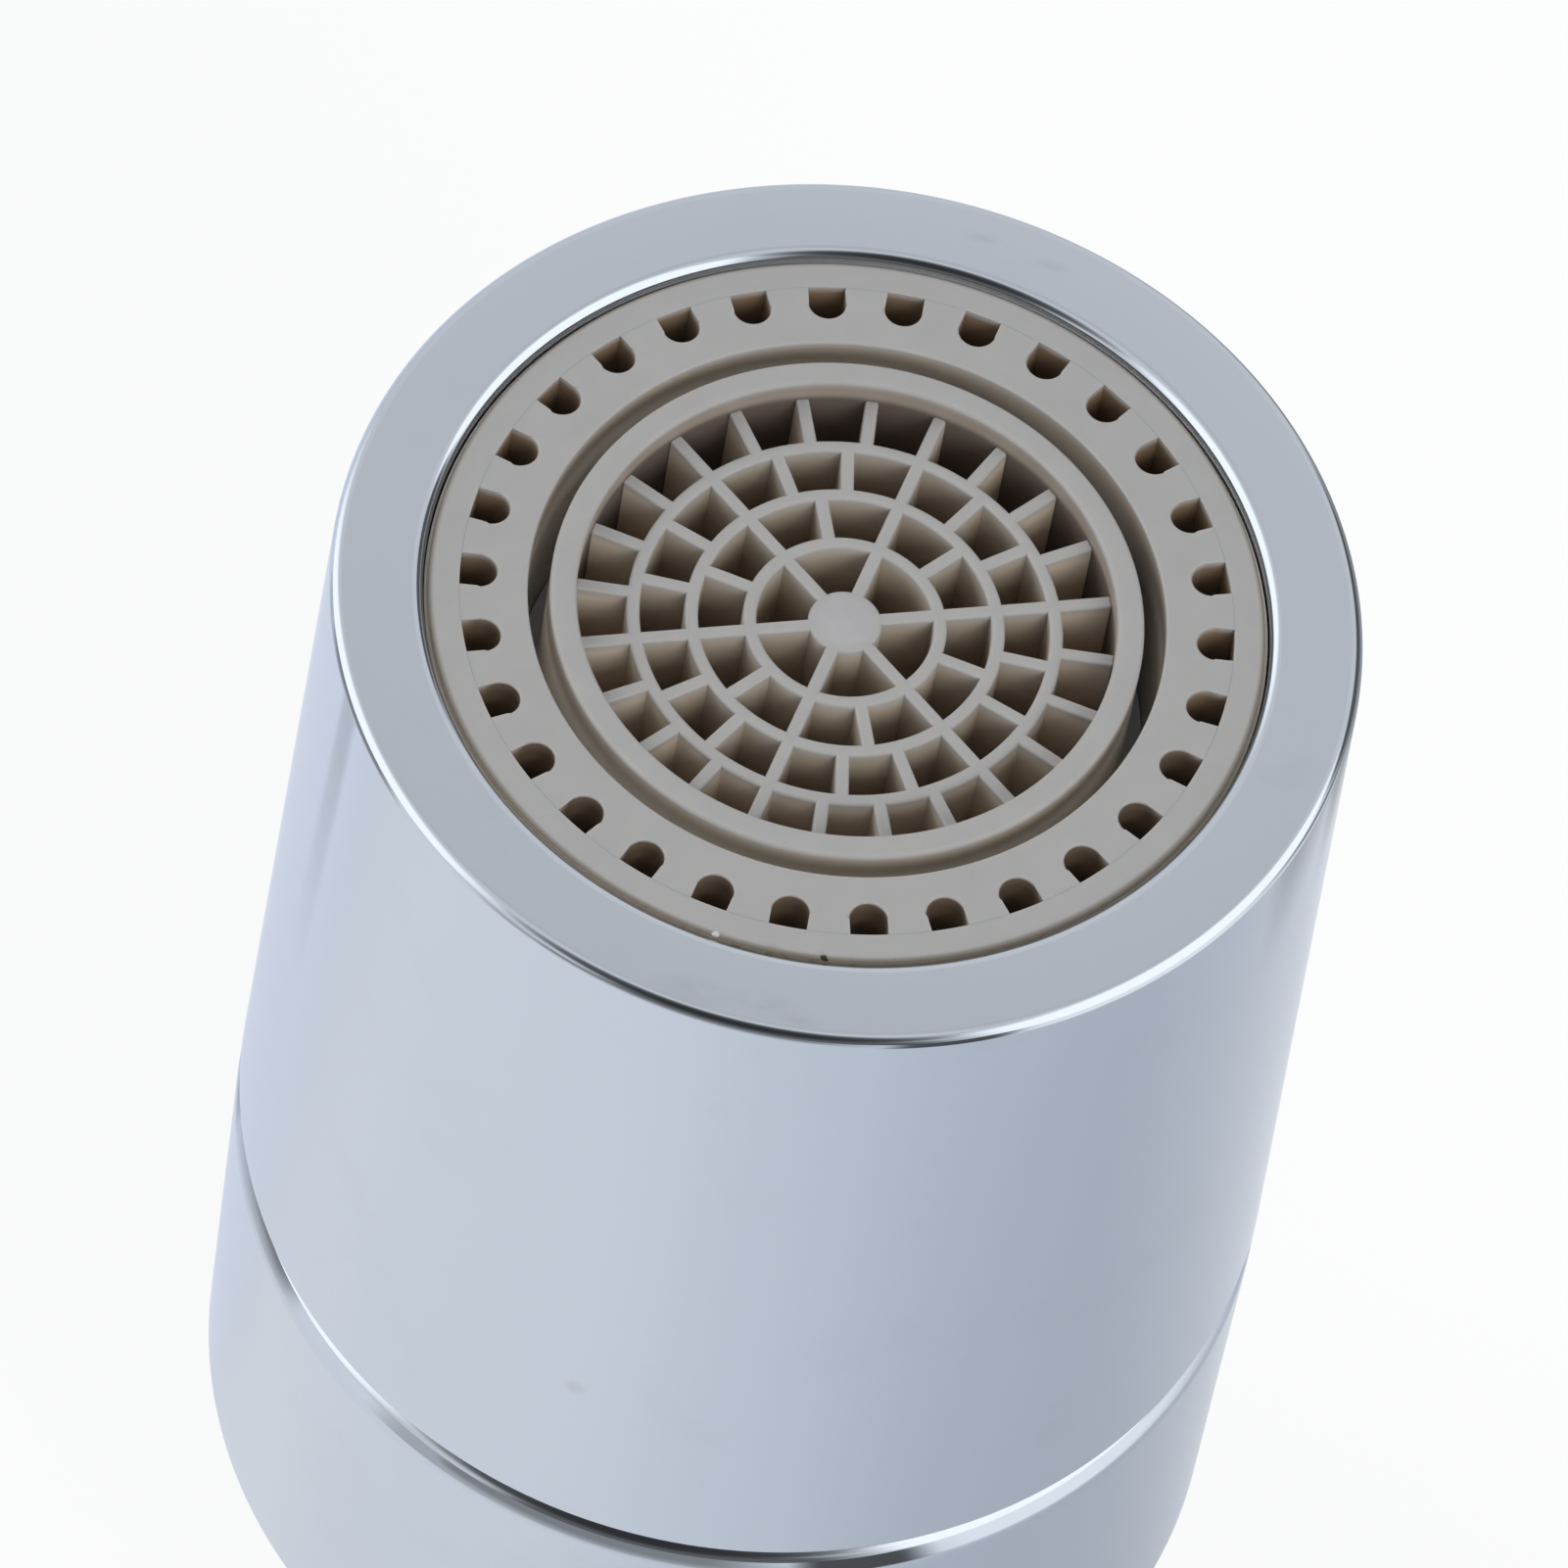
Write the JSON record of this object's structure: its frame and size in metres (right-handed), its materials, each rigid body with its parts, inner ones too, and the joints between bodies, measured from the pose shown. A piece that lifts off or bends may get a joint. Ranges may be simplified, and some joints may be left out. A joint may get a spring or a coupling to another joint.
{
  "type": "swivel tap aerator",
  "caption": "Chrome tap aerator head: slotted spray ring round a honeycomb stream outlet, in a sleeve that pulls out, on a collar that tilts and turns on a ball with a threaded nipple.",
  "frame": {"origin": "centre of the inlet gasket's lower face, on the axis", "axes": "+Z along the axis from the inlet to the outlet, X along the tilt axis"},
  "size_m": [0.0355, 0.0354, 0.0641],
  "materials": {
    "chrome": "polished plating",
    "face_plastic": "satin warm grey moulding",
    "core_plastic": "satin pale grey moulding",
    "bearing_plastic": "waxy natural moulding",
    "rubber": "matt black",
    "spring_steel": "plain strip"
  },
  "bodies": {
    "inlet": {"inlet_nipple": "chrome", "inlet_gasket": "rubber", "inlet_strainer": "core_plastic"},
    "ball": {"ball_stem": "chrome", "stem_clip": "spring_steel", "stem_oring": "rubber"},
    "head": {"rear_collar": "chrome", "ball_seat": "bearing_plastic", "ball_seal": "rubber", "collar_gasket": "rubber", "core_body": "core_plastic", "guide_oring": "rubber", "stop_clip": "spring_steel"},
    "outlet": {"outlet_sleeve": "chrome", "sleeve_clip": "spring_steel", "flow_divider": "core_plastic", "valve_seal": "rubber", "jet_plate": "core_plastic", "stream_cup": "face_plastic", "spray_plate": "face_plastic", "face_ring": "face_plastic"}
  },
  "joints": [
    {"name": "stem_turn", "type": "hinge", "parent": "inlet", "child": "ball", "pos_m": [0, 0, 0.0095], "axis": [0, 0, 1], "continuous": true},
    {"name": "head_tilt", "type": "hinge", "parent": "ball", "child": "head", "pos_m": [0, 0, 0.02426], "axis": [1, 0, 0], "range_deg": [-15, 15]},
    {"name": "sleeve_pull", "type": "slide", "parent": "head", "child": "outlet", "axis": [0, 0, 1], "range_m": [0, 0.0055]}
  ]
}
